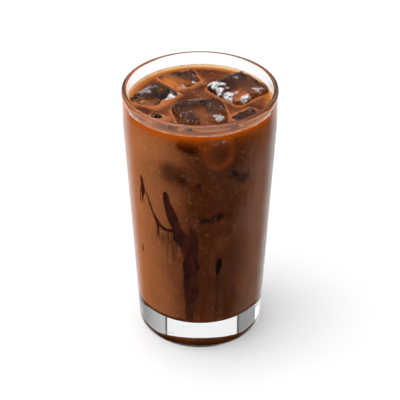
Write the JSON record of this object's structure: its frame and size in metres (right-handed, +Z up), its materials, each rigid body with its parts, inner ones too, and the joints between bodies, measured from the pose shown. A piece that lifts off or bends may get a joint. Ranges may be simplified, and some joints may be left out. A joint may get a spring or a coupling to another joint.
{
  "type": "iced coffee in a glass",
  "caption": "Iced coffee with floating ice cubes in a tall, slightly tapered clear tumbler with a thick base.",
  "frame": {"origin": "centre of the foot, on the surface the glass stands on", "axes": "+Z up along the glass's axis; -Y towards the viewer; +X to the viewer's right"},
  "size_m": [0.082, 0.082, 0.148],
  "materials": {
    "glass": "clear, polished",
    "coffee": "glossy liquid",
    "ice": "wet, melting",
    "syrup": "glossy sauce",
    "water": "clear drops"
  },
  "bodies": {
    "root": {"glass": "glass", "coffee": "coffee", "ice_back_left": "ice", "ice_left": "ice", "ice_front": "ice", "ice_right": "ice", "ice_front_left": "ice", "ice_front_right": "ice"}
  },
  "joints": []
}
